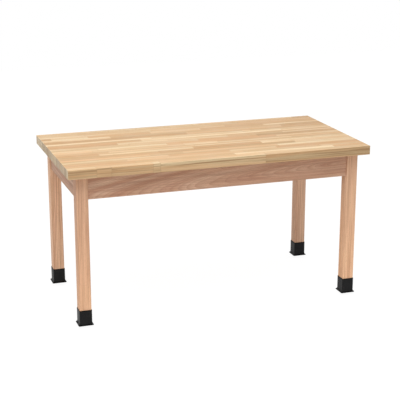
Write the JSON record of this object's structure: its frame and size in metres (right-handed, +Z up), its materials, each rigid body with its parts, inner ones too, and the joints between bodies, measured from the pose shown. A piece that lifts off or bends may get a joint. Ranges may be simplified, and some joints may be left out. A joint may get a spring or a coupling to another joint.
{
  "type": "laboratory table",
  "caption": "Oak-framed laboratory table with a thick butcher block top, plain aprons, bolted square legs, levelling glides and black leg boots.",
  "frame": {"origin": "on the floor, under the centre of the top", "axes": "+X along the table's length towards its right end seen from the front, -Y towards the front, +Z up"},
  "size_m": [1.524, 0.762, 0.7811],
  "materials": {
    "top_wood": "satin clear lacquer on edge-glued hardwood staves",
    "leg_wood": "satin clear lacquer on straight-grained oak",
    "apron_wood": "satin clear lacquer on flat-sawn oak",
    "zinc_steel": "zinc plated, slightly dull",
    "bright_steel": "bright zinc plated",
    "glide_nylon": "moulded black nylon",
    "boot_vinyl": "satin black vinyl"
  },
  "bodies": {
    "table": {"butcher_block_top": "top_wood", "apron_front": "apron_wood", "apron_rear": "apron_wood", "apron_left": "apron_wood", "apron_right": "apron_wood", "leg_front_left": "leg_wood", "corner_bracket_front_left": "zinc_steel", "hanger_bolt_lower_front_left": "bright_steel", "hanger_bolt_upper_front_left": "bright_steel", "flange_nut_lower_front_left": "bright_steel", "flange_nut_upper_front_left": "bright_steel", "glide_insert_front_left": "zinc_steel", "leg_front_right": "leg_wood", "corner_bracket_front_right": "zinc_steel", "hanger_bolt_lower_front_right": "bright_steel", "hanger_bolt_upper_front_right": "bright_steel", "flange_nut_lower_front_right": "bright_steel", "flange_nut_upper_front_right": "bright_steel", "glide_insert_front_right": "zinc_steel", "leg_rear_right": "leg_wood", "corner_bracket_rear_right": "zinc_steel", "hanger_bolt_lower_rear_right": "bright_steel", "hanger_bolt_upper_rear_right": "bright_steel", "flange_nut_lower_rear_right": "bright_steel", "flange_nut_upper_rear_right": "bright_steel", "glide_insert_rear_right": "zinc_steel", "leg_rear_left": "leg_wood", "corner_bracket_rear_left": "zinc_steel", "hanger_bolt_lower_rear_left": "bright_steel", "hanger_bolt_upper_rear_left": "bright_steel", "flange_nut_lower_rear_left": "bright_steel", "flange_nut_upper_rear_left": "bright_steel", "glide_insert_rear_left": "zinc_steel", "top_clip_front_left": "zinc_steel", "top_clip_front_right": "zinc_steel", "top_clip_rear_left": "zinc_steel", "top_clip_rear_right": "zinc_steel", "top_clip_left": "zinc_steel", "top_clip_right": "zinc_steel", "clip_screw_front_left": "bright_steel", "clip_screw_front_right": "bright_steel", "clip_screw_rear_left": "bright_steel", "clip_screw_rear_right": "bright_steel", "clip_screw_left": "bright_steel", "clip_screw_right": "bright_steel"},
    "glide_pad_body_front_left": {"glide_pad_front_left": "glide_nylon"},
    "glide_screw_body_front_left": {"glide_screw_front_left": "bright_steel"},
    "boot_body_front_left": {"leg_boot_front_left": "boot_vinyl"},
    "glide_pad_body_front_right": {"glide_pad_front_right": "glide_nylon"},
    "glide_screw_body_front_right": {"glide_screw_front_right": "bright_steel"},
    "boot_body_front_right": {"leg_boot_front_right": "boot_vinyl"},
    "glide_pad_body_rear_right": {"glide_pad_rear_right": "glide_nylon"},
    "glide_screw_body_rear_right": {"glide_screw_rear_right": "bright_steel"},
    "boot_body_rear_right": {"leg_boot_rear_right": "boot_vinyl"},
    "glide_pad_body_rear_left": {"glide_pad_rear_left": "glide_nylon"},
    "glide_screw_body_rear_left": {"glide_screw_rear_left": "bright_steel"},
    "boot_body_rear_left": {"leg_boot_rear_left": "boot_vinyl"}
  },
  "joints": [
    {"name": "glide_turn_front_left", "type": "hinge", "parent": "glide_pad_body_front_left", "child": "glide_screw_body_front_left", "pos_m": [-0.68898, -0.30797, 0.0107], "axis": [0, 0, -1], "range_deg": [0, 2880]},
    {"name": "glide_travel_front_left", "type": "slide", "parent": "table", "child": "glide_pad_body_front_left", "axis": [0, 0, -1], "range_m": [0, 0.0127]},
    {"name": "boot_slide_front_left", "type": "slide", "parent": "table", "child": "boot_body_front_left", "axis": [0, 0, 1], "range_m": [-0.0127, 0.1]},
    {"name": "glide_turn_front_right", "type": "hinge", "parent": "glide_pad_body_front_right", "child": "glide_screw_body_front_right", "pos_m": [0.68898, -0.30797, 0.0107], "axis": [0, 0, -1], "range_deg": [0, 2880]},
    {"name": "glide_travel_front_right", "type": "slide", "parent": "table", "child": "glide_pad_body_front_right", "axis": [0, 0, -1], "range_m": [0, 0.0127]},
    {"name": "boot_slide_front_right", "type": "slide", "parent": "table", "child": "boot_body_front_right", "axis": [0, 0, 1], "range_m": [-0.0127, 0.1]},
    {"name": "glide_turn_rear_right", "type": "hinge", "parent": "glide_pad_body_rear_right", "child": "glide_screw_body_rear_right", "pos_m": [0.68898, 0.30797, 0.0107], "axis": [0, 0, -1], "range_deg": [0, 2880]},
    {"name": "glide_travel_rear_right", "type": "slide", "parent": "table", "child": "glide_pad_body_rear_right", "axis": [0, 0, -1], "range_m": [0, 0.0127]},
    {"name": "boot_slide_rear_right", "type": "slide", "parent": "table", "child": "boot_body_rear_right", "axis": [0, 0, 1], "range_m": [-0.0127, 0.1]},
    {"name": "glide_turn_rear_left", "type": "hinge", "parent": "glide_pad_body_rear_left", "child": "glide_screw_body_rear_left", "pos_m": [-0.68898, 0.30797, 0.0107], "axis": [0, 0, -1], "range_deg": [0, 2880]},
    {"name": "glide_travel_rear_left", "type": "slide", "parent": "table", "child": "glide_pad_body_rear_left", "axis": [0, 0, -1], "range_m": [0, 0.0127]},
    {"name": "boot_slide_rear_left", "type": "slide", "parent": "table", "child": "boot_body_rear_left", "axis": [0, 0, 1], "range_m": [-0.0127, 0.1]}
  ],
  "couplings": [
    {"joint": "glide_turn_front_left", "follows": "glide_travel_front_left", "rad_per_m": 3957.9},
    {"joint": "glide_turn_front_right", "follows": "glide_travel_front_right", "rad_per_m": 3957.9},
    {"joint": "glide_turn_rear_right", "follows": "glide_travel_rear_right", "rad_per_m": 3957.9},
    {"joint": "glide_turn_rear_left", "follows": "glide_travel_rear_left", "rad_per_m": 3957.9}
  ]
}
